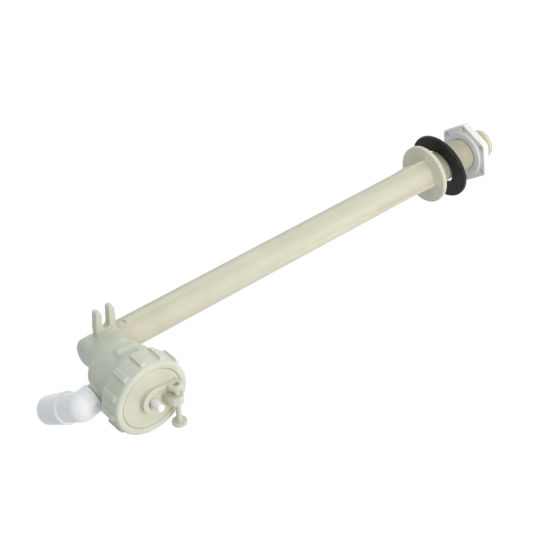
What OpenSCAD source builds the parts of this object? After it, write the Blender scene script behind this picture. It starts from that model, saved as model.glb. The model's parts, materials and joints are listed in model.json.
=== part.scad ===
// Bottom-entry diaphragm fill valve for a toilet cistern.
// +Z runs up the standpipe and the working face of the valve looks along -Y.
// The origin is on the standpipe's axis, in the underside of its tank flange.
// Threads are drawn as plain cylinders at their full diameter.

/* [Standpipe] */
// Height of the valve's axis above the underside of the tank flange
head_z = 259; // [180:1:340]
// Outer diameter of the standpipe
pipe_d = 18.9; // [16:0.1:24]
// Wall of the standpipe
pipe_wall = 3.3; // [2:0.1:4]
// Diameter of the tank flange
flange_d = 38.6; // [32:0.1:50]
// Thickness of the tank flange
flange_t = 3.1; // [2:0.1:6]
// Length of the threaded tail below the flange
tail_length = 52.4; // [35:0.1:80]
// Outer diameter of the tail thread, G 1/2
thread_d = 20.955; // [20.955]
// Diameter of the thread above the connector's stretch, where the backnut runs
nut_thread_d = 20.65; // [20.4:0.05:20.65]
// Diameter of the plain neck between the flange and the thread
neck_d = 23; // [21.5:0.1:26]
// Length of the plain neck
neck_length = 8.4; // [4:0.1:8.6]
// Diameter of the bore in the tail
inlet_d = 14; // [11:0.1:15]
// Height of the four fins above the flange
fin_height = 58; // [15:1:90]
// How far a fin stands out from the pipe at the flange
fin_reach = 3.2; // [1:0.1:6]
// Thickness of a fin
fin_t = 1.7; // [1:0.1:3]
// Turn of the fins round the pipe
fin_turn = -5; // [-45:1:45]

/* [Pipe joint] */
// How far the pipe ends below the axis of the valve
pipe_end_drop = 15; // [13:0.1:22]
// Length of the spigot that enters the pipe
spigot_length = 22; // [16:0.5:35]
// Radial clearance round the spigot
spigot_clearance = 0.15; // [0.05:0.01:0.3]
// Section diameter of the two pipe O-rings
pipe_ring_section = 1.6; // [1:0.1:2]
// Width of the snap window near the end of the pipe
window_w = 3.4; // [2:0.1:6]
// Height of the snap window
window_h = 1.2; // [1:0.1:3]

/* [Valve body] */
// Outer diameter of the body tube above the pipe
tube_d = 18.4; // [15:0.1:20]
// How far the body tube rises above the axis of the valve
stub_rise = 9; // [8:0.5:20]
// Corner radius of the closed end of the body tube
stub_round = 4.5; // [1:0.1:5]
// Width of the junction block along X
block_w = 18.4; // [18.4:0.1:24]
// Radius of the neck between the body tube and the bell
bell_neck_r = 9.5; // [9.3:0.1:12]
// Radius of the bell where it leaves its neck
bell_rear_r = 17; // [15:0.1:18]
// Radius of the bell behind the ring nut
bell_r = 19.6; // [19:0.1:20]
// Distance from the pipe axis to the rear shoulder of the bell
bell_rear = 16.4; // [14:0.1:18]
// Distance from the pipe axis to the front rim of the body
body_front = 47.4; // [44:0.1:60]
// Diameter of the ring nut's thread on the body
body_thread_d = 41.2; // [40.6:0.1:42]
// Length of the ring nut's thread on the body
body_thread_length = 7.4; // [5:0.1:9]
// Wall between the bell's chamber and its outside
bell_wall = 2.8; // [2:0.1:3.5]
// Diameter of the bore that carries water to the nozzle
feed_d = 9; // [6:0.1:10]
// Diameter of the tower that holds the nozzle
tower_d = 14; // [13.5:0.1:16]

/* [Fork] */
// Thickness of the fork plate along Y
fork_t = 4.4; // [3:0.1:6]
// Height of the fork where it leaves the block
fork_height = 13.5; // [12:0.1:16]
// Drop of the fork's upper edge from the block to the tip
fork_taper = 1.3; // [0:0.1:2]
// Width of a prong at its tip, along Z
prong_tip_w = 3.55; // [2.5:0.05:4.5]
// Width of a prong at its root
prong_root_w = 4.5; // [3:0.1:5]
// Distance from the pipe axis to the bottom of the gap
fork_gap_x = 15; // [12:0.1:18]
// Distance from the pipe axis to the tips of the prongs
fork_tip_x = 26.2; // [22:0.1:34]
// Height of the fork's lower edge below the axis of the valve
fork_drop = 14; // [12:0.1:14]

/* [Side rib] */
// Radius of the half-round rib on the +X side of the bell
side_rib_r = 4.6; // [3:0.1:5]
// Distance of the rib's axis from the valve axis along X
side_rib_x = 16.4; // [15:0.1:17]
// Distance from the pipe axis forward to the rib's axis
side_rib_f = 30.4; // [26:0.1:33]
// How far the rib rises above the axis of the valve
side_rib_rise = 5.5; // [2:0.1:8]
// How far the rib drops below the axis of the valve
side_rib_drop = 8; // [6:0.1:14]
// Corner radius of the rib's ends
side_rib_round = 2; // [0.5:0.1:3]

/* [Ring nut] */
// Outer diameter of the ring nut between its ribs
ring_d = 46.6; // [45:0.1:52]
// Distance from the pipe axis to the front face of the ring nut
ring_front = 54.3; // [54:0.1:68]
// Length of the ring nut
ring_length = 14.9; // [12:0.1:18]
// Thickness of the lip that holds the cover
ring_lip = 2.8; // [1.8:0.1:2.9]
// Diameter of the opening in the lip
ring_opening_d = 37.6; // [34:0.1:37.6]
// Radius of the ring nut's outer front edge
ring_edge_r = 1.8; // [0.5:0.1:2]
// Radius of the edge round the opening
ring_mouth_r = 1.2; // [0.4:0.1:1.5]
// Number of grip ribs
rib_count = 12; // [6:1:20]
// Turn of the ring nut on its thread
ring_turn = 3.5; // [0:0.5:30]
// Width of a grip rib
rib_w = 3.4; // [1.5:0.1:5]
// Height of a grip rib
rib_h = 1.4; // [0.8:0.1:3]
// Distance from the ring nut's face back to the ribs' front ends
rib_back = 2; // [1:0.1:4]
// Radial running clearance of the ring nut on its thread
thread_clearance = 0.08; // [0.02:0.01:0.1]

/* [Cover] */
// Thickness of the cover's clamped flange
cover_flange_t = 2.4; // [1.6:0.1:2.4]
// How far the cover's face lies behind the ring nut's face
cover_recess = 0.5; // [0.5:0.1:2]
// Depth of the pocket behind the cover
pocket_depth = 2.7; // [2.3:0.1:3]
// Distance from the valve axis down to the float arm's pivot
pivot_drop = 12.6; // [10:0.1:13]
// Distance from the ring nut's face forward to the pivot
pivot_ahead = 4.8; // [4.8:0.1:8]
// Radius of the upper lug round the pivot
upper_lug_r = 3.5; // [2.4:0.1:3.6]
// Radius of the lower lug round the pivot
lower_lug_r = 3.8; // [2.4:0.1:3.9]
// Thickness of the upper lug, on the +X side
upper_lug_t = 3; // [2:0.1:4]
// Thickness of the lower lug, on the -X side
lower_lug_t = 5.4; // [2:0.1:6]
// Gap between the lugs
lug_gap = 4.6; // [2:0.1:5]
// Offset of the gap's middle towards +X
lug_gap_x = 1.7; // [-1:0.1:2]
// Inner radius of the curved wall beside the plunger
guard_r = 5.1; // [5:0.1:6]
// Thickness of the curved wall
guard_t = 3.3; // [1:0.1:3.5]
// Height of the curved wall above the cover's face
guard_h = 2.9; // [1:0.1:4]
// Angle from +X at which the curved wall ends beside the plunger
guard_end = 140; // [90:5:160]
// Drop of the curved wall's centre below the valve axis
guard_drop = 0.8; // [0:0.1:1.5]
// Height of the floor inside the curved wall above the cover's face
guard_floor = 0.8; // [0.3:0.1:1.2]

/* [Plunger and diaphragm] */
// Diameter of the plunger
plunger_d = 4.9; // [3.5:0.1:7]
// Offset of the plunger's axis from the valve axis along X
plunger_x = -1.5; // [-2:0.1:2]
// Radial running clearance of the plunger in the cover
plunger_clearance = 0.08; // [0.03:0.01:0.1]
// How far the plunger stands out of the ring nut's face when the valve is open
plunger_out = 8.3; // [5:0.1:14]
// Diameter of the plunger's thrust disc
plunger_disc_d = 11; // [8:0.1:14]
// Thickness of the thrust disc
plunger_disc_t = 1.2; // [0.8:0.1:1.2]
// Travel of the plunger from open to shut
valve_lift = 2.2; // [1.5:0.1:2.5]
// Thickness of the diaphragm's clamped rim
diaphragm_rim_t = 1.6; // [1:0.1:2]
// Thickness of the diaphragm's web
web_t = 0.9; // [0.6:0.1:1.2]
// Diameter of the diaphragm's centre button
button_d = 11.2; // [9:0.1:14]
// Thickness of the centre button
button_t = 2.8; // [2:0.1:2.8]

/* [Nozzle] */
// Diameter of the nozzle insert
nozzle_d = 10.3; // [9:0.1:11]
// Length of the nozzle insert inside its tower
nozzle_length = 9; // [7:0.1:12]
// Diameter of the water jet's hole
jet_d = 3; // [1.5:0.1:4]
// Section diameter of the nozzle's O-ring
nozzle_ring_section = 1; // [0.8:0.1:1.2]

/* [Hinge pin] */
// Diameter of the hinge pin
pin_d = 3.2; // [2:0.1:3.4]
// Radial running clearance of the pin in the lugs
pin_clearance = 0.08; // [0.03:0.01:0.1]
// Length of the pin under its head
pin_length = 23; // [16:0.5:30]
// Diameter of the pin's head
pin_head_d = 8.8; // [5:0.1:9]
// Thickness of the pin's head
pin_head_t = 2; // [1:0.1:3]
// How far the pin is drawn out of the lower lug
pin_drawn = 14.4; // [0:0.1:18]

/* [Outlet] */
// Distance from the pipe axis forward to the outlet's axis
outlet_f = 27.5; // [25:0.1:29]
// Lean of the outlet from +Z towards -X
outlet_lean = 12; // [0:1:60]
// Distance from the valve's axis to the elbow's centre
elbow_reach = 29.4; // [28.8:0.1:36]
// Outer diameter of the elbow's tube
elbow_d = 17; // [16:0.1:19]
// Diameter of the passage through the elbow
elbow_bore_d = 11.2; // [9:0.1:11.4]
// Diameter of the tube socket in the free end
elbow_socket_d = 12.6; // [12.6:0.1:13.6]
// Depth of the tube socket
elbow_socket_depth = 19; // [10:0.5:20]
// Extra radius of the rounded corner over the tube
elbow_swell = 0.25; // [0.2:0.05:0.6]
// Swivel of the elbow from straight back towards -X
elbow_swivel = 31; // [-60:1:60]
// Rise of the elbow's free leg above square
elbow_rise = 18; // [0:1:30]
// Length of the elbow's free leg from its centre
elbow_leg = 34; // [26:0.5:60]
// Diameter over the hose barb
barb_d = 19; // [18:0.1:22]
// Length of the tapered barb
barb_length = 21; // [8:0.5:22]
// Diameter of the free end
elbow_tip_d = 16.4; // [15:0.1:17]
// Outer diameter of the body's outlet spigot
outlet_spigot_d = 12.4; // [12:0.1:12.6]
// Radial clearance between the spigot and the elbow
outlet_clearance = 0.08; // [0.03:0.01:0.1]
// Section diameter of the outlet O-ring
outlet_ring_section = 1.1; // [0.8:0.1:1.2]

/* [Tank washer and backnut] */
// Outer diameter of the rubber washer
washer_d = 44.9; // [38:0.1:56]
// Thickness of the rubber washer
washer_t = 3.4; // [2:0.1:5]
// Radial clearance between the washer's hole and the neck
washer_clearance = 0.6; // [0.55:0.05:1.5]
// Distance from the flange down to the washer's centre
washer_drop = 12.5; // [12:0.1:20]
// Tilt of the loose washer
washer_tilt = 9; // [0:0.5:9]
// Direction of the washer's tilt
washer_turn = 15; // [0:5:355]
// Width across the flats of the backnut
nut_af = 36.5; // [30:0.1:46]
// Thickness of the backnut's hexagon
nut_t = 4.6; // [3:0.1:10]
// Distance from the flange down to the backnut's upper face
nut_drop = 35; // [26:0.1:44]
// Turn of the backnut on its thread
nut_turn = 7; // [0:1:60]
// Diameter of the boss on the backnut's upper face
nut_boss_d = 30; // [26:0.1:34]
// Height of the boss
nut_boss_h = 1.4; // [0.5:0.1:3]
// Diameter that cuts back the corners of the hexagon
nut_corner_d = 41.2; // [38:0.1:42]
// Diameter of the pocket in each corner
nut_pocket_d = 3.8; // [2:0.1:4]
// Depth of the pockets
nut_pocket_depth = 2.2; // [0.5:0.1:2.6]
// Radial clearance between the backnut and the thread
nut_clearance = 0.08; // [0.02:0.01:0.1]

/* [Inlet inserts] */
// Length of the strainer
strainer_length = 20; // [14:0.5:22]
// Radial clearance of the inserts in the tail's bore
insert_clearance = 0.05; // [0.02:0.01:0.1]
// Outer diameter of the mesh sleeve
mesh_d = 9.8; // [8:0.1:10.4]
// Wall of the mesh sleeve
mesh_t = 0.35; // [0.3:0.05:0.6]
// Length of the flow regulator
regulator_length = 6; // [5:0.1:7]
// Section diameter of the regulator's ring
regulator_section = 1.7; // [1.2:0.1:1.8]

/* [Hidden] */
$fn = 96;
// Overlap that makes a cut pass through a face
eps = 0.05;
// Gap that keeps an O-ring off the walls it seals
ring_gap = 0.02;

pipe_r = pipe_d / 2;
pipe_bore_r = pipe_r - pipe_wall;
pipe_end_z = head_z - pipe_end_drop;
socket_r = pipe_r - 2.05;
spigot_r = socket_r - spigot_clearance;
spigot_z = pipe_end_z - spigot_length;
spigot_bore_r = spigot_r - pipe_ring_section - 0.9;
window_z = pipe_end_z - 5;
snap_reach = 2.1;
o_ring_pitch = 5;
lower_ring_z = spigot_z + 4;
upper_ring_z = lower_ring_z + o_ring_pitch;

tube_r = tube_d / 2;
stub_z = head_z + stub_rise;
chamber_rear = bell_rear + 4.4;
chamber_r = bell_r - bell_wall;
rim_r = bell_r + 0.2;
block_front = 11;
block_top = 1;
fork_z = head_z - fork_drop;
fork_root_gap = fork_height - 2 * prong_root_w;
prong_step = fork_height - fork_taper - prong_tip_w;
nozzle_lip = body_front - valve_lift;
nozzle_front = nozzle_lip - 1.6;
nozzle_r = nozzle_d / 2;
nozzle_pocket_r = nozzle_r + 0.05;
nozzle_ring_f = nozzle_front - 4;

cover_rear = body_front + diaphragm_rim_t;
cover_flange_front = cover_rear + cover_flange_t;
cover_face = ring_front - cover_recess;
cover_flange_r = rim_r - 0.1;
ring_r = ring_d / 2;
ring_rear = ring_front - ring_length;
ring_opening_r = ring_opening_d / 2;
cover_face_r = ring_opening_r - 0.04;
face_groove_r = cover_face_r - 1.8;
lug_root = 0.5;
pocket_r = chamber_r - 1.4;
pocket_front = cover_rear + pocket_depth;
lip_rear = ring_front - ring_lip;
pivot_f = ring_front + pivot_ahead;
upper_lug_x = lug_gap_x + lug_gap / 2;
lower_lug_x = lug_gap_x - lug_gap / 2;
lower_lug_end = lower_lug_x - lower_lug_t;

button_rear = body_front;
button_front = button_rear + button_t;
plunger_r = plunger_d / 2;
plunger_tip = ring_front + plunger_out;
plunger_disc_rear = button_front + 0.05;

outlet_r = outlet_spigot_d / 2;
outlet_bore_r = outlet_r - outlet_ring_section - 0.6;
outlet_end = elbow_reach - 1.9;
outlet_ring_at = outlet_end - 2.6;
elbow_r = elbow_d / 2;
elbow_bore_r = elbow_bore_d / 2;
elbow_hollow_r = outlet_r + outlet_clearance + elbow_swell;
elbow_mouth = bell_r + 1.6;

thread_r = thread_d / 2;
nut_thread_r = nut_thread_d / 2;
nut_bottom_z = -nut_drop - nut_t;
neck_r = neck_d / 2;
inlet_r = inlet_d / 2;
regulator_top = -20;
strainer_bottom = -tail_length + 0.8;
strainer_top = strainer_bottom + strainer_length;
mesh_r = mesh_d / 2;
washer_r = washer_d / 2;
washer_hole_r = neck_r + washer_clearance;

// Points of a quarter round of radius r about (cx, cy), from angle a0 to a1
function arc(cx, cy, r, a0, a1, steps = 8) =
    [for (i = [0:steps]) let (a = a0 + (a1 - a0) * i / steps) [cx + r * cos(a), cy + r * sin(a)]];

// Frame of the valve: local Z runs forward along -Y from the pipe axis, local Y is up
module head(f = 0) {
    translate([0, 0, head_z]) rotate([90, 0, 0]) translate([0, 0, f]) children();
}

// Frame of the outlet: local Z runs out from the valve's axis, local Y runs back
module outlet(reach = 0) {
    head(outlet_f) rotate([0, 0, outlet_lean]) rotate([-90, 0, 0]) translate([0, 0, reach]) children();
}

// Frame of the elbow's free leg: local Z runs from the elbow's centre to the free end
module free_leg() {
    outlet(elbow_reach) rotate([0, 0, elbow_swivel]) rotate([elbow_rise - 90, 0, 0]) children();
}

module lathe(points) {
    rotate_extrude() polygon(points);
}

module o_ring(centre_r, section) {
    rotate_extrude() translate([centre_r, 0]) circle(d = section, $fn = 32);
}

// One long fin in the half plane of +X, from the flange up the pipe
module fin() {
    translate([0, fin_t / 2, 0]) rotate([90, 0, 0]) linear_extrude(fin_t)
        polygon([[pipe_r - 1, flange_t - eps], [pipe_r + fin_reach, flange_t - eps],
                 [pipe_r + fin_reach, flange_t + 2], [pipe_r - 0.1, flange_t + fin_height],
                 [pipe_r - 1, flange_t + fin_height]]);
}

module standpipe_outer() {
    lathe(concat(
        [[0, -tail_length], [thread_r - 1.1, -tail_length], [thread_r, -tail_length + 1.1],
         [thread_r, nut_bottom_z - 0.3], [nut_thread_r, nut_bottom_z - 0.1],
         [nut_thread_r, -neck_length - 0.6], [neck_r - 0.3, -neck_length], [neck_r, -neck_length + 0.3],
         [neck_r, 0]],
        [[flange_d / 2 - 0.6, 0]],
        arc(flange_d / 2 - 0.6, 0.6, 0.6, -90, 0, 3),
        arc(flange_d / 2 - 0.8, flange_t - 0.8, 0.8, 0, 90, 4),
        [[pipe_r + 1.2, flange_t], [pipe_r + 0.4, flange_t + 0.3], [pipe_r, flange_t + 1.2],
         [pipe_r, pipe_end_z - 0.6], [pipe_r - 0.6, pipe_end_z], [0, pipe_end_z]]));
}

module standpipe() {
    color("wheat") difference() {
        union() {
            standpipe_outer();
            for (i = [0:3]) rotate([0, 0, 90 * i + fin_turn]) fin();
        }
        translate([0, 0, -tail_length - 1]) cylinder(r = inlet_r, h = tail_length + 1 + regulator_top);
        translate([0, 0, regulator_top - 1]) cylinder(r = pipe_bore_r, h = pipe_end_z);
        translate([0, 0, spigot_z - 0.3]) cylinder(r = socket_r, h = spigot_length + 2);
        translate([0, -window_w / 2, window_z - window_h / 2]) cube([pipe_r + 2, window_w, window_h]);
    }
}

// Profile of the bell from its neck to the front rim, as radius and distance forward
module bell() {
    lathe(concat(
        [[0, 4], [bell_neck_r, 4]],
        arc(bell_neck_r + 3.4, bell_rear - 3.4, 3.4, 180, 90, 5),
        arc(bell_rear_r - 1, bell_rear + 1, 1, -90, -10, 4),
        [[bell_r - 1, bell_rear + 7], [bell_r, bell_rear + 12],
         [bell_r, body_front - body_thread_length - 1.6],
         [body_thread_d / 2, body_front - body_thread_length],
         [body_thread_d / 2, body_front - 0.8], [rim_r, body_front], [0, body_front]]));
}

module body_tube() {
    lathe(concat(
        [[0, pipe_end_z + 0.02], [tube_r, pipe_end_z + 0.02]],
        arc(tube_r - stub_round, stub_z - stub_round, stub_round, 0, 90),
        [[0, stub_z]]));
}

// Block where the upright tube meets the valve, with flat sides
module junction_block() {
    translate([-block_w / 2, -block_front, pipe_end_z + 0.6])
        cube([block_w, block_front + fork_t / 2, pipe_end_drop + block_top]);
}

// One prong from the block to its tip, with a large lower and a small upper corner
module prong(low, high, tip_low) {
    low_corner = 2;
    high_corner = 0.6;
    tip_high = tip_low + prong_tip_w;
    polygon(concat(
        [[0, low], [fork_gap_x, low]],
        arc(fork_tip_x - low_corner, tip_low + low_corner, low_corner, -90, 0),
        arc(fork_tip_x - high_corner, tip_high - high_corner, high_corner, 0, 90, 4),
        [[fork_gap_x, high], [0, high]]));
}

// U-shaped plate in the plane of X and Z
module fork() {
    translate([0, fork_t / 2, fork_z]) rotate([90, 0, 0]) linear_extrude(fork_t)
        difference() {
            union() {
                prong(0, prong_root_w, 0);
                prong(prong_root_w + fork_root_gap, fork_height, prong_step);
                square([fork_gap_x, fork_height]);
            }
            translate([fork_gap_x, fork_height / 2]) circle(d = fork_root_gap);
        }
}

// Half-round upright rib on the +X side of the bell
module side_rib() {
    corner = side_rib_r - side_rib_round;
    translate([side_rib_x, -side_rib_f, head_z]) lathe(concat(
        [[0, -side_rib_drop]],
        arc(corner, side_rib_round - side_rib_drop, side_rib_round, -90, 0, 5),
        arc(corner, side_rib_rise - side_rib_round, side_rib_round, 0, 90, 5),
        [[0, side_rib_rise]]));
}

module outlet_spigot() {
    outlet(chamber_r - 2) cylinder(r = outlet_r, h = outlet_end - chamber_r + 2);
    outlet(chamber_r - 2) cylinder(r = outlet_r + 1.2, h = bell_r - chamber_r + 3);
}

module pipe_spigot() {
    translate([0, 0, spigot_z]) cylinder(r = spigot_r, h = spigot_length + 1);
}

// Barbed tongue that snaps into the pipe's window
module snap_tongue() {
    translate([0, -window_w / 2 + 0.2, window_z - window_h / 2 + 0.2])
        cube([spigot_r + snap_reach, window_w - 0.4, window_h - 0.4]);
}

module o_ring_groove(groove_r, section) {
    difference() {
        cylinder(r = groove_r + 5, h = section + 0.3, center = true);
        cylinder(r = groove_r - section - 2 * ring_gap, h = section + 1, center = true);
    }
}

module valve_body() {
    color("palegoldenrod") difference() {
        union() {
            body_tube();
            junction_block();
            head() bell();
            fork();
            side_rib();
            outlet_spigot();
            pipe_spigot();
            snap_tongue();
        }
        translate([0, 0, spigot_z - 1]) cylinder(r = spigot_bore_r, h = head_z - spigot_z + feed_d / 2 + 1);
        head() cylinder(d = feed_d, h = body_front);
        head() difference() {
            translate([0, 0, chamber_rear]) cylinder(r = chamber_r, h = body_front);
            cylinder(d = tower_d, h = nozzle_front);
        }
        head(nozzle_front - nozzle_length) cylinder(r = nozzle_pocket_r, h = body_front);
        outlet(tower_d / 2 + 1) cylinder(r = outlet_bore_r, h = elbow_reach);
        outlet(outlet_ring_at) o_ring_groove(outlet_r + outlet_clearance, outlet_ring_section);
        for (z = [lower_ring_z, upper_ring_z])
            translate([0, 0, z]) o_ring_groove(socket_r, pipe_ring_section);
    }
}

module pipe_o_ring(z) {
    color("dimgray") translate([0, 0, z])
        o_ring(socket_r - ring_gap - pipe_ring_section / 2, pipe_ring_section);
}

// Nylon insert whose raised lip the diaphragm closes
module seat_nozzle() {
    color("white") head() difference() {
        lathe([[0, nozzle_front - nozzle_length], [nozzle_r, nozzle_front - nozzle_length],
               [nozzle_r, nozzle_front], [tower_d / 2, nozzle_front], [tower_d / 2, nozzle_front + 0.6],
               [jet_d / 2 + 1.6, nozzle_front + 0.6], [jet_d / 2 + 0.9, nozzle_lip], [0, nozzle_lip]]);
        cylinder(d = jet_d, h = body_front);
        translate([0, 0, nozzle_front - nozzle_length - 1]) cylinder(d1 = 8, d2 = jet_d, h = 7);
        translate([0, 0, nozzle_ring_f]) o_ring_groove(nozzle_pocket_r, nozzle_ring_section);
    }
}

module nozzle_o_ring() {
    color("dimgray") head(nozzle_ring_f)
        o_ring(nozzle_pocket_r - ring_gap - nozzle_ring_section / 2, nozzle_ring_section);
}

// Moulded rubber disc: clamped rim, one soft convolution and a thick centre button
module diaphragm() {
    rim_in = chamber_r - 0.6;
    button_r = button_d / 2;
    roll_r = (rim_in - button_r) / 2;
    roll_mid = (rim_in + button_r) / 2;
    roll_h = 0.9;
    web_low = [for (i = [0:12]) let (t = i / 12) [rim_in - 2 * roll_r * t, body_front + 0.2 + roll_h * sin(180 * t)]];
    web_high = [for (i = [0:12]) let (t = 1 - i / 12)
        [rim_in - 2 * roll_r * t, body_front + 0.2 + web_t + roll_h * sin(180 * t)]];
    color("dimgray") head() lathe(concat(
        [[0, button_rear], [button_r - 0.4, button_rear]],
        [for (i = [12:-1:0]) web_low[i]],
        [[rim_in + 0.3, body_front], [rim_r - 0.2, body_front], [rim_r - 0.2, cover_rear], [rim_in + 0.3, cover_rear]],
        [for (i = [12:-1:0]) web_high[i]],
        [[button_r - 0.4, button_front], [0, button_front]]));
}

// Outline of a lug in the plane of height and distance forward, about the pivot
module lug(r, shoulder) {
    root = cover_face - pivot_f - lug_root;
    side = shoulder.x + 1.6;
    circle(r = r);
    translate([-r, root]) square([2 * r, -root]);
    polygon([[0, r], shoulder, [side, shoulder.y - 2.6], [side + 0.4, root], [0, root]]);
}

module lug_plate(x0, t, r, shoulder) {
    translate([x0, -pivot_drop, pivot_f]) rotate([90, 0, 90]) linear_extrude(t) lug(r, shoulder);
}

// Curved wall that half rings the plunger, with a round end and a straight arm to the upper lug
module guard_wall() {
    outer_r = guard_r + guard_t;
    cap_at = guard_r + guard_t / 2;
    arm_end = -pivot_drop + upper_lug_r + guard_drop;
    translate([0, -guard_drop, cover_face - eps]) {
        cylinder(r = guard_r + eps, h = guard_floor + eps);
        linear_extrude(guard_h + eps) polygon(concat(
            [[upper_lug_x, arm_end], [upper_lug_x + upper_lug_t, arm_end], [outer_r - 0.5, -3]],
            arc(0, 0, outer_r, 0, guard_end, 16),
            arc(cap_at * cos(guard_end), cap_at * sin(guard_end), guard_t / 2, guard_end + 20, guard_end + 160),
            arc(0, 0, guard_r, guard_end, 0, 12)));
    }
}

module front_cover() {
    color("palegoldenrod") head() difference() {
        union() {
            lathe([[0, cover_rear], [cover_flange_r, cover_rear], [cover_flange_r, cover_flange_front],
                   [cover_face_r, cover_flange_front], [cover_face_r, cover_face - 0.4],
                   [cover_face_r - 0.4, cover_face], [face_groove_r + 0.3, cover_face],
                   [face_groove_r, cover_face - 0.3], [face_groove_r - 0.3, cover_face], [0, cover_face]]);
            guard_wall();
            lug_plate(upper_lug_x, upper_lug_t, upper_lug_r, [2.8, 2.2]);
            lug_plate(lower_lug_end, lower_lug_t, lower_lug_r, [4.3, 2.8]);
        }
        translate([0, 0, cover_rear - 1]) cylinder(r = pocket_r, h = pocket_depth + 1);
        translate([plunger_x, 0, cover_rear]) cylinder(r = plunger_r + plunger_clearance, h = ring_front);
        translate([lower_lug_end - 1, -pivot_drop, pivot_f]) rotate([0, 90, 0])
            cylinder(d = pin_d + 2 * pin_clearance, h = 30);
    }
}

// Grip ribs whose front ends slope down to the ring nut's rounded edge
module grip_ribs() {
    rear = ring_rear + 1;
    front = ring_front - rib_back;
    slope = 1.6;
    for (i = [0:rib_count - 1]) rotate([0, 0, ring_turn + 360 * i / rib_count])
        translate([0, rib_w / 2, 0]) rotate([90, 0, 0]) linear_extrude(rib_w)
            polygon([[ring_r - 1, rear], [ring_r + rib_h - 0.5, rear], [ring_r + rib_h, rear + 0.5],
                     [ring_r + rib_h, front - slope], [ring_r, front], [ring_r - 1, front]]);
}

module ring_nut() {
    bore_r = body_thread_d / 2 + thread_clearance;
    color("palegoldenrod") head() {
        lathe(concat(
            [[bore_r, ring_rear], [ring_r - 0.5, ring_rear], [ring_r, ring_rear + 0.5]],
            arc(ring_r - ring_edge_r, ring_front - ring_edge_r, ring_edge_r, 0, 90),
            arc(ring_opening_r + ring_mouth_r, ring_front - ring_mouth_r, ring_mouth_r, 90, 180, 6),
            [[ring_opening_r, lip_rear], [bore_r, lip_rear]]));
        grip_ribs();
    }
}

module plunger() {
    color("white") head() translate([plunger_x, 0, 0]) lathe([
        [0, plunger_disc_rear], [plunger_disc_d / 2, plunger_disc_rear],
        [plunger_disc_d / 2, plunger_disc_rear + plunger_disc_t], [plunger_r, plunger_disc_rear + plunger_disc_t],
        [plunger_r, plunger_tip - 0.7], [plunger_r - 0.7, plunger_tip], [0, plunger_tip]]);
}

module hinge_pin() {
    head_x = lower_lug_end - pin_drawn;
    color("palegoldenrod") head() translate([head_x - pin_head_t, -pivot_drop, pivot_f]) rotate([0, 90, 0]) lathe([
        [0, 0], [pin_head_d / 2 - 0.5, 0], [pin_head_d / 2, 0.5], [pin_head_d / 2, pin_head_t - 0.3],
        [pin_head_d / 2 - 0.3, pin_head_t], [pin_d / 2, pin_head_t],
        [pin_d / 2, pin_head_t + pin_length - 0.6], [pin_d / 2 - 0.5, pin_head_t + pin_length],
        [0, pin_head_t + pin_length]]);
}

module outlet_elbow() {
    ridge = elbow_leg - barb_length;
    color("white") difference() {
        union() {
            outlet(elbow_mouth) cylinder(r = elbow_r, h = elbow_reach - elbow_mouth);
            outlet(elbow_reach) sphere(r = elbow_r + elbow_swell);
            free_leg() lathe([
                [0, 0], [elbow_r, 0], [elbow_r, ridge - 0.8], [barb_d / 2 - 0.3, ridge],
                [barb_d / 2, ridge + 0.7], [barb_d / 2 - 0.2, ridge + 1.6],
                [elbow_tip_d / 2 + 0.2, elbow_leg - 1.4], [elbow_tip_d / 2 - 0.5, elbow_leg - 0.2],
                [elbow_tip_d / 2 - 1, elbow_leg], [0, elbow_leg]]);
        }
        outlet(elbow_mouth - 1) cylinder(r = outlet_r + outlet_clearance, h = elbow_reach - elbow_mouth + 1);
        outlet(elbow_reach) sphere(r = elbow_hollow_r);
        free_leg() cylinder(r = elbow_bore_r, h = elbow_leg);
        free_leg() translate([0, 0, elbow_leg - elbow_socket_depth])
            cylinder(d = elbow_socket_d, h = elbow_socket_depth + 1);
    }
}

module outlet_o_ring() {
    color("dimgray") outlet(outlet_ring_at)
        o_ring(outlet_r + outlet_clearance - ring_gap - outlet_ring_section / 2, outlet_ring_section);
}

// Thick rubber washer that hangs tilted on the thread
module tank_washer() {
    edge = 1.1;
    color("dimgray") translate([0, 0, -washer_drop]) rotate([0, 0, washer_turn]) rotate([0, -washer_tilt, 0])
        lathe(concat(
            [[washer_hole_r, -washer_t / 2 + 0.3], [washer_hole_r + 0.3, -washer_t / 2]],
            arc(washer_r - edge, -washer_t / 2 + edge, edge, -90, 0, 6),
            arc(washer_r - edge, washer_t / 2 - edge, edge, 0, 90, 6),
            [[washer_hole_r + 0.3, washer_t / 2], [washer_hole_r, washer_t / 2 - 0.3]]));
}

// Hexagon with its corners cut back, a pocket in each corner and a raised boss
module backnut() {
    hex_r = nut_af / sqrt(3);
    pocket_at = (nut_boss_d + nut_corner_d) / 4 - 0.6;
    color("white") translate([0, 0, -nut_drop]) rotate([0, 0, nut_turn]) difference() {
        union() {
            translate([0, 0, -nut_t]) intersection() {
                cylinder(r = hex_r, h = nut_t, $fn = 6);
                cylinder(d = nut_corner_d, h = nut_t);
            }
            cylinder(d = nut_boss_d, h = nut_boss_h);
        }
        translate([0, 0, -nut_t - 1]) cylinder(r = thread_r + nut_clearance, h = nut_t + nut_boss_h + 2);
        for (i = [0:5]) rotate([0, 0, 60 * i]) translate([pocket_at, 0, -nut_pocket_depth])
            cylinder(d = nut_pocket_d, h = nut_pocket_depth + 1);
    }
}

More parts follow.
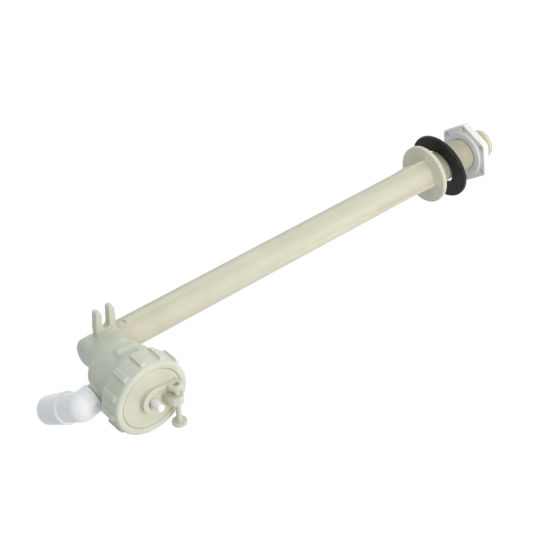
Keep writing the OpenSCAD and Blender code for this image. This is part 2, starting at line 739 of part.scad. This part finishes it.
// Open cage: a flange at the inlet end, four bars and a closed top
module inlet_strainer() {
    flange_r = inlet_r - insert_clearance;
    cage_r = mesh_r + 1.1;
    color("white") translate([0, 0, strainer_bottom]) {
        difference() {
            cylinder(r = flange_r, h = 1.6);
            translate([0, 0, -1]) cylinder(r = mesh_r - mesh_t - 0.3, h = 4);
        }
        for (i = [0:3]) rotate([0, 0, 90 * i + 45]) translate([mesh_r, -0.8, 1.6 - eps])
            cube([1.1, 1.6, strainer_length - 3.1 + 2 * eps]);
        translate([0, 0, strainer_length - 1.5]) cylinder(r = cage_r, h = 1.5);
    }
}

module strainer_mesh() {
    color("gainsboro") translate([0, 0, strainer_bottom + 1.6]) difference() {
        cylinder(r = mesh_r, h = strainer_length - 3.1);
        translate([0, 0, -1]) cylinder(r = mesh_r - mesh_t, h = strainer_length);
    }
}

// Insert with a ring pocket round a centre post, drained by six holes
module flow_regulator() {
    post_r = 2.2;
    pocket = post_r + regulator_section + 0.8;
    color("white") translate([0, 0, regulator_top - regulator_length]) difference() {
        cylinder(r = inlet_r - insert_clearance, h = regulator_length - 0.02);
        difference() {
            translate([0, 0, -1]) cylinder(r = pocket, h = regulator_length - 1);
            translate([0, 0, -2]) cylinder(r = post_r, h = regulator_length + 2);
        }
        for (i = [0:5]) rotate([0, 0, 60 * i]) translate([(post_r + pocket) / 2, 0, 1])
            cylinder(r = 0.8, h = regulator_length);
    }
}

module regulator_ring() {
    color("dimgray") translate([0, 0, regulator_top - 2 - regulator_section / 2 - ring_gap])
        o_ring(2.2 + 0.05 + regulator_section / 2, regulator_section);
}

standpipe();
valve_body();
pipe_o_ring(lower_ring_z);  // pipe_o_ring_lower
pipe_o_ring(upper_ring_z);  // pipe_o_ring_upper
seat_nozzle();
nozzle_o_ring();
diaphragm();
front_cover();
ring_nut();
plunger();
hinge_pin();
outlet_elbow();
outlet_o_ring();
tank_washer();
backnut();
inlet_strainer();
strainer_mesh();
flow_regulator();
regulator_ring();
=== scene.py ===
"""Looks of a bottom-entry toilet fill valve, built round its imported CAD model."""

import math

import bmesh
import bpy
from mathutils import Matrix, Vector
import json

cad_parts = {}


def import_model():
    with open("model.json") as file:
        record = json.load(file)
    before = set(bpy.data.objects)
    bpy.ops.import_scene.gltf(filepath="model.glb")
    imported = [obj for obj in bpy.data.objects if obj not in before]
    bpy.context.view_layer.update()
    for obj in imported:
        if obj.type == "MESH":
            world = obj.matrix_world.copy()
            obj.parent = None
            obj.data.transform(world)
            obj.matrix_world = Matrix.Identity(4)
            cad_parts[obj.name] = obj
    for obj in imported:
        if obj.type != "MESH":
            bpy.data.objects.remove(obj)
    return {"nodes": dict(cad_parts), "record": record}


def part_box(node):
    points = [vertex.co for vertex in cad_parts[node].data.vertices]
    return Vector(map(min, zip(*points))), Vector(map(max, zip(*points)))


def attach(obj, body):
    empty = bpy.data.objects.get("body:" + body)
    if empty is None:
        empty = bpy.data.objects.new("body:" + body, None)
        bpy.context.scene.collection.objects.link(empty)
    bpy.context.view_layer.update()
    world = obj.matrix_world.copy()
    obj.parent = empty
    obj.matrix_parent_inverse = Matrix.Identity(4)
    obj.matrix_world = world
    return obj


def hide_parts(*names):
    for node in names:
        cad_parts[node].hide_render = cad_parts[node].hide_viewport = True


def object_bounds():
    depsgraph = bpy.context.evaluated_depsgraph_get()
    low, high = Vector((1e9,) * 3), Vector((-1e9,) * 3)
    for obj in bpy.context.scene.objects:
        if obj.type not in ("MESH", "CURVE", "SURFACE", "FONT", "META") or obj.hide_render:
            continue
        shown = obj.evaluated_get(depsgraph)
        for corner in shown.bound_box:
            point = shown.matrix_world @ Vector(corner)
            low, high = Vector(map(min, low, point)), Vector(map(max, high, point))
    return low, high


MM = 0.001

# Colours, as linear RGB
CREAM = (0.66, 0.63, 0.49)
# Valve body: the cream darkened and turned greener as painted shade
CREAM_WITH_PAINTED_SHADE = (0.60, 0.61, 0.50)
COVER_CREAM = (0.62, 0.60, 0.475)
WHITE = (0.86, 0.85, 0.83)
NATURAL = (0.74, 0.73, 0.68)
BLACK = (0.006, 0.006, 0.006)
SEAL_BLACK = (0.012, 0.012, 0.012)
FLOOR = (0.90, 0.90, 0.90)

# Camera: place, and the directions of its right side and its top
CAMERA_AT = Vector((0.5190, -0.5291, 0.5457))
CAMERA_RIGHT = Vector((-0.0370, -0.6350, -0.7710))
CAMERA_UP = Vector((0.7860, 0.4580, -0.4150))
CAMERA_LENS = 94.55

# Pipe thread G 1/2 on the tail
THREAD_PITCH = 1.814 * MM
THREAD_CREST_R = 10.4775 * MM
THREAD_ROOT_R = 9.32 * MM
THREAD_STEPS = 72
# Where the ridge starts above the tail's end, and the height it runs up to
THREAD_LEAD_IN = 1.6 * MM
THREAD_TOP = -9.6 * MM
# Half of the ridge's section: share of half the pitch along the tail, and share of the depth outwards
THREAD_SECTION = [(0.92, -0.1), (0.86, 0.05), (0.30, 0.86), (0.14, 1.0)]
# Share of the depth that is left where the ridge runs out
THREAD_RUNOUT = 0.12
# The CAD's plain thread wall: it lies below this height and outside this radius
THREAD_WALL_TOP = -8.7 * MM
THREAD_WALL_R = 10.2 * MM
RADIUS_SLACK = 0.1 * MM
SHARP_ANGLE = math.radians(35)

# Cosine between the true and the rounded normal: on a flat, and on a full edge
EDGE_FLAT = 0.995
EDGE_FULL = 0.80

# Floor: width, gap under the object and own glow
FLOOR_SIZE = 6.0
FLOOR_GAP = 0.5 * MM
FLOOR_GLOW = 0.50

# Lights: place from the object's centre, width, power and colour
KEY_PLACE = Vector((0.32, -0.95, -0.02))
KEY = (0.5, 4.1, (1.0, 0.95, 0.86))
FILL_PLACE = Vector((0.75, -0.25, 0.65))
FILL = (1.0, 1.2, (0.93, 0.98, 1.0))
SKY_COLOR = (0.88, 0.94, 1.0, 1.0)
SKY_STRENGTH = 0.63

# Edge rounding of the moulded parts: voxel size, and passes of smoothing
MOULDED = {
    "valve_body": (0.30 * MM, 5),
    "ring_nut": (0.20 * MM, 6),
    "front_cover": (0.20 * MM, 5),
    "backnut": (0.22 * MM, 5),
}


def new_material(name):
    """A node material, with its tree and its principled shader."""
    material = bpy.data.materials.new(name)
    material.use_nodes = True
    tree = material.node_tree
    return material, tree, tree.nodes["Principled BSDF"]


def object_coordinates(tree):
    return tree.nodes.new("ShaderNodeTexCoord").outputs["Object"]


def noise(tree, coordinates, scale, detail, stretch=(1, 1, 1)):
    """Noise over the object's own coordinates, drawn out along an axis by stretch."""
    mapping = tree.nodes.new("ShaderNodeMapping")
    mapping.inputs["Scale"].default_value = stretch
    tree.links.new(coordinates, mapping.inputs["Vector"])
    texture = tree.nodes.new("ShaderNodeTexNoise")
    texture.inputs["Scale"].default_value = scale
    texture.inputs["Detail"].default_value = detail
    tree.links.new(mapping.outputs["Vector"], texture.inputs["Vector"])
    return texture.outputs["Fac"]


def ramp(tree, value, stops):
    """Colour ramp; stops are pairs of position and linear colour."""
    node = tree.nodes.new("ShaderNodeValToRGB")
    for element, (position, color) in zip(node.color_ramp.elements, stops):
        element.position = position
        element.color = (*color, 1)
    tree.links.new(value, node.inputs["Fac"])
    return node.outputs["Color"]


def remap(tree, value, low, high, start=0.0, end=1.0):
    node = tree.nodes.new("ShaderNodeMapRange")
    node.inputs["From Min"].default_value = start
    node.inputs["From Max"].default_value = end
    node.inputs["To Min"].default_value = low
    node.inputs["To Max"].default_value = high
    tree.links.new(value, node.inputs["Value"])
    return node.outputs["Result"]


def mix(tree, factor, first, second):
    node = tree.nodes.new("ShaderNodeMix")
    node.data_type = "RGBA"
    tree.links.new(factor, node.inputs["Factor"])
    for socket, color in (("A", first), ("B", second)):
        slot = [s for s in node.inputs if s.name == socket and s.type == "RGBA"][0]
        if isinstance(color, tuple):
            slot.default_value = (*color, 1)
        else:
            tree.links.new(color, slot)
    return [s for s in node.outputs if s.type == "RGBA"][0]


def bump(tree, height, distance, strength, normal):
    node = tree.nodes.new("ShaderNodeBump")
    node.inputs["Strength"].default_value = strength
    node.inputs["Distance"].default_value = distance
    tree.links.new(height, node.inputs["Height"])
    tree.links.new(normal, node.inputs["Normal"])
    return node.outputs["Normal"]


def rounded_normal(tree, radius):
    node = tree.nodes.new("ShaderNodeBevel")
    node.samples = 6
    node.inputs["Radius"].default_value = radius
    return node.outputs["Normal"]


def edge_mask(tree, normal):
    """How far the rounded normal turns from the surface's own, from 0 on a flat to 1 on an edge."""
    own = tree.nodes.new("ShaderNodeNewGeometry").outputs["Normal"]
    dot = tree.nodes.new("ShaderNodeVectorMath")
    dot.operation = "DOT_PRODUCT"
    tree.links.new(own, dot.inputs[0])
    tree.links.new(normal, dot.inputs[1])
    return remap(tree, dot.outputs["Value"], 0.0, 1.0, EDGE_FLAT, EDGE_FULL)


def plastic(name, color, roughness, level=0.4, subsurface=0.10, flow=0.5, edge=0.25):
    """Moulded plastic: mottle and flow marks, uneven gloss, fine grain, rubs and paler edges."""
    material, tree, shader = new_material(name)
    place = object_coordinates(tree)
    rounded = rounded_normal(tree, 0.35 * MM)
    mottle = noise(tree, place, 60.0, 4.0)
    base = ramp(tree, mottle, [(0.30, tone(color, 0.93)), (0.72, tone(color, 1.03))])
    streaks = noise(tree, place, 260.0, 5.0, (1.0, 1.0, 0.08))
    base = mix(tree, remap(tree, streaks, 0.0, flow, 0.52, 0.75), base, tone(color, 0.86))
    specks = noise(tree, place, 900.0, 1.0)
    base = mix(tree, remap(tree, specks, 0.0, 0.5, 0.74, 0.80), base, tone(color, 0.62))
    base = mix(tree, remap(tree, edge_mask(tree, rounded), 0.0, edge), base, tone(color, 1.22))
    tree.links.new(base, shader.inputs["Base Color"])
    gloss = remap(tree, noise(tree, place, 150.0, 5.0), roughness - 0.07, roughness + 0.10)
    tree.links.new(gloss, shader.inputs["Roughness"])
    grain = bump(tree, noise(tree, place, 2600.0, 2.0), 0.012 * MM, 0.5, rounded)
    waves = bump(tree, noise(tree, place, 130.0, 2.0), 0.10 * MM, 0.25, grain)
    rubs = noise(tree, place, 420.0, 6.0, (1.0, 0.10, 1.0))
    scratches = bump(tree, remap(tree, rubs, 0.0, 1.0, 0.62, 0.68), 0.006 * MM, 0.6, waves)
    tree.links.new(scratches, shader.inputs["Normal"])
    shader.inputs["Specular IOR Level"].default_value = level
    shader.inputs["Subsurface Weight"].default_value = subsurface
    shader.inputs["Subsurface Radius"].default_value = (1.0, 0.9, 0.7)
    shader.inputs["Subsurface Scale"].default_value = 1.5 * MM
    return material


def rubber(name, color, roughness):
    """Moulded rubber: fine grain, pale bloom in patches and a dull shine."""
    material, tree, shader = new_material(name)
    place = object_coordinates(tree)
    rounded = rounded_normal(tree, 0.3 * MM)
    bloom = noise(tree, place, 120.0, 6.0)
    base = ramp(tree, bloom, [(0.42, color), (0.85, tone(color, 4.0))])
    tree.links.new(base, shader.inputs["Base Color"])
    gloss = remap(tree, noise(tree, place, 300.0, 4.0), roughness - 0.08, roughness + 0.15)
    tree.links.new(gloss, shader.inputs["Roughness"])
    grain = bump(tree, noise(tree, place, 1800.0, 3.0), 0.02 * MM, 0.6, rounded)
    tree.links.new(grain, shader.inputs["Normal"])
    shader.inputs["Specular IOR Level"].default_value = 0.30
    return material


def woven(name, color):
    """Fine nylon mesh: two crossed sets of threads."""
    material, tree, shader = new_material(name)
    place = object_coordinates(tree)
    rounded = rounded_normal(tree, 0.1 * MM)
    heights = []
    for direction in ("Z", "DIAGONAL"):
        wave = tree.nodes.new("ShaderNodeTexWave")
        wave.bands_direction = direction
        wave.inputs["Scale"].default_value = 620.0
        tree.links.new(place, wave.inputs["Vector"])
        heights.append(wave.outputs["Fac"])
    weave = tree.nodes.new("ShaderNodeMath")
    weave.operation = "MULTIPLY"
    tree.links.new(heights[0], weave.inputs[0])
    tree.links.new(heights[1], weave.inputs[1])
    # The darker tone in the dips between the threads is painted shade
    base = ramp(tree, weave.outputs["Value"], [(0.05, tone(color, 0.35)), (0.45, color)])
    tree.links.new(base, shader.inputs["Base Color"])
    threads = bump(tree, weave.outputs["Value"], 0.08 * MM, 0.8, rounded)
    tree.links.new(threads, shader.inputs["Normal"])
    shader.inputs["Roughness"].default_value = 0.5
    return material


def tone(color, factor):
    return tuple(min(1.0, c * factor) for c in color)


def make_materials():
    return {
        "pipe_plastic": plastic("pipe_plastic", CREAM, 0.42),
        # The valve body's colour is the cream with painted shade in it
        "body_plastic": plastic("body_plastic", CREAM_WITH_PAINTED_SHADE, 0.40, flow=0.35),
        "cover_plastic": plastic("cover_plastic", COVER_CREAM, 0.42, flow=0.3),
        "white_plastic": plastic("white_plastic", WHITE, 0.36, subsurface=0.2, flow=0.2, edge=0.1),
        "white_nylon": plastic("white_nylon", NATURAL, 0.38, subsurface=0.2, flow=0.2),
        "mesh_nylon": woven("mesh_nylon", NATURAL),
        "washer_rubber": rubber("washer_rubber", BLACK, 0.42),
        "seal_rubber": rubber("seal_rubber", SEAL_BLACK, 0.50),
    }


def clean_copy(node):
    """A piece's own mesh, copied from a CAD node with its doubled vertices joined."""
    mesh = node.data.copy()
    work = bmesh.new()
    work.from_mesh(mesh)
    bmesh.ops.remove_doubles(work, verts=work.verts, dist=0.0005 * MM)
    work.to_mesh(mesh)
    work.free()
    return mesh


def add_piece(name, mesh, body, material, replaced):
    """Links a mesh to the scene as a piece of the object that stands for a CAD node."""
    mesh.materials.clear()
    mesh.materials.append(material)
    piece = bpy.data.objects.new(name, mesh)
    bpy.context.scene.collection.objects.link(piece)
    for polygon in mesh.polygons:
        polygon.use_smooth = True
    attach(piece, body)
    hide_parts(replaced)
    return piece


def apply_modifiers(piece):
    """Gives the piece the mesh that its modifiers make."""
    evaluated = piece.evaluated_get(bpy.context.evaluated_depsgraph_get())
    made = bpy.data.meshes.new_from_object(evaluated)
    piece.modifiers.clear()
    piece.data = made


def mould(node, body, slot, material, voxel, passes):
    """A moulded piece with the CAD node's shape and small round edges."""
    piece = add_piece(node.name + "_moulding", clean_copy(node), body, material, node.name)
    remesh = piece.modifiers.new("remesh", "REMESH")
    remesh.mode = "VOXEL"
    remesh.voxel_size = voxel
    remesh.use_smooth_shade = True
    smooth = piece.modifiers.new("smooth", "SMOOTH")
    smooth.factor = 0.5
    smooth.iterations = passes
    apply_modifiers(piece)
    return piece


def turned_tail(node, body, material):
    """The standpipe with its plain thread cylinders turned down to the thread's root."""
    mesh = clean_copy(node)
    for vertex in mesh.vertices:
        point = vertex.co
        radius = math.hypot(point.x, point.y)
        if point.z < THREAD_WALL_TOP and THREAD_WALL_R < radius < THREAD_CREST_R + RADIUS_SLACK:
            point.x *= THREAD_ROOT_R / radius
            point.y *= THREAD_ROOT_R / radius
    piece = add_piece("standpipe_moulding", mesh, body, material, node.name)
    mesh.set_sharp_from_angle(angle=SHARP_ANGLE)
    return piece


def helix_ridge(bottom, top):
    """Closed ridge of a pipe thread, which runs out at both ends."""
    turns = (top - bottom) / THREAD_PITCH
    count = int(turns * THREAD_STEPS)
    depth = THREAD_CREST_R - THREAD_ROOT_R
    half = THREAD_PITCH / 2
    lower = [(-share * half, out) for share, out in THREAD_SECTION]
    upper = [(share * half, out) for share, out in reversed(THREAD_SECTION)]
    section = lower + upper
    work = bmesh.new()
    rings = []
    for step in range(count + 1):
        angle = math.tau * step / THREAD_STEPS
        height = bottom + THREAD_PITCH * step / THREAD_STEPS
        fade = min(1.0, step / THREAD_STEPS, (count - step) / THREAD_STEPS)
        ring = []
        for along, out in section:
            if out > 0:
                out *= THREAD_RUNOUT + (1 - THREAD_RUNOUT) * fade
            radius = THREAD_ROOT_R + depth * out
            point = (radius * math.cos(angle), radius * math.sin(angle), height + along)
            ring.append(work.verts.new(point))
        rings.append(ring)
    size = len(section)
    for first, second in zip(rings, rings[1:]):
        for i in range(size):
            j = (i + 1) % size
            work.faces.new((first[i], first[j], second[j], second[i]))
    work.faces.new(rings[0][::-1])
    work.faces.new(rings[-1])
    bmesh.ops.recalc_face_normals(work, faces=work.faces)
    mesh = bpy.data.meshes.new("tail_thread")
    work.to_mesh(mesh)
    work.free()
    return mesh


def dress(frame, materials):
    """Gives each CAD node its slot's material, or a finer piece that stands for it."""
    bodies = {node: body for body, nodes in frame["record"]["behaviour"]["bodies"].items() for node in nodes}
    for part in frame["record"]["subparts"]:
        name = part["node"]
        slot = part["material_slot"]
        node = frame["nodes"][name]
        if name in MOULDED:
            mould(node, bodies[name], slot, materials[slot], *MOULDED[name])
        elif name == "standpipe":
            turned_tail(node, bodies[name], materials[slot])
        else:
            node.data.materials.clear()
            node.data.materials.append(materials[slot])


def add_thread(materials):
    """The ridge of the tail's thread, as a piece of its own."""
    tail_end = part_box("standpipe")[0][2]
    mesh = helix_ridge(tail_end + THREAD_LEAD_IN, THREAD_TOP)
    add_piece("tail_thread", mesh, "riser", materials["pipe_plastic"], "standpipe")


def make_floor(low, high):
    centre = (low + high) / 2
    place = (centre.x, centre.y, low.z - FLOOR_GAP)
    bpy.ops.mesh.primitive_plane_add(size=FLOOR_SIZE, location=place)
    floor = bpy.context.object
    floor.name = "floor"
    material, tree, shader = new_material("floor_paper")
    shade = noise(tree, object_coordinates(tree), 3.0, 2.0)
    tree.links.new(ramp(tree, shade, [(0.0, tone(FLOOR, 0.985)), (1.0, FLOOR)]), shader.inputs["Base Color"])
    shader.inputs["Roughness"].default_value = 0.9
    shader.inputs["Emission Color"].default_value = (1.0, 1.0, 1.0, 1.0)
    shader.inputs["Emission Strength"].default_value = FLOOR_GLOW
    floor.data.materials.append(material)


def area_light(name, location, target, size, power, color):
    data = bpy.data.lights.new(name, "AREA")
    data.shape = "DISK"
    data.size = size
    data.energy = power
    data.color = color
    lamp = bpy.data.objects.new(name, data)
    lamp.location = location
    lamp.rotation_mode = "QUATERNION"
    lamp.rotation_quaternion = (Vector(target) - Vector(location)).to_track_quat("-Z", "Y")
    bpy.context.scene.collection.objects.link(lamp)


def make_lights(centre):
    area_light("key", centre + KEY_PLACE, centre, *KEY)
    area_light("fill", centre + FILL_PLACE, centre, *FILL)
    world = bpy.data.worlds.new("studio")
    world.use_nodes = True
    sky = world.node_tree.nodes["Background"]
    sky.inputs["Color"].default_value = SKY_COLOR
    sky.inputs["Strength"].default_value = SKY_STRENGTH
    bpy.context.scene.world = world


def make_camera():
    data = bpy.data.cameras.new("camera")
    data.lens = CAMERA_LENS
    data.sensor_width = 36.0
    data.clip_start = 0.01
    camera = bpy.data.objects.new("camera", data)
    right = CAMERA_RIGHT.normalized()
    back = right.cross(CAMERA_UP).normalized()
    top = back.cross(right)
    turn = Matrix((right, top, back)).transposed().to_4x4()
    camera.matrix_world = Matrix.Translation(CAMERA_AT) @ turn
    bpy.context.scene.collection.objects.link(camera)
    bpy.context.scene.camera = camera


def main():
    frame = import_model()
    cad_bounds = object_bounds()
    low, high = cad_bounds
    materials = make_materials()
    dress(frame, materials)
    add_thread(materials)
    make_floor(low, high)
    make_lights((low + high) / 2)
    make_camera()
    bpy.context.scene.view_settings.view_transform = "Standard"


main()
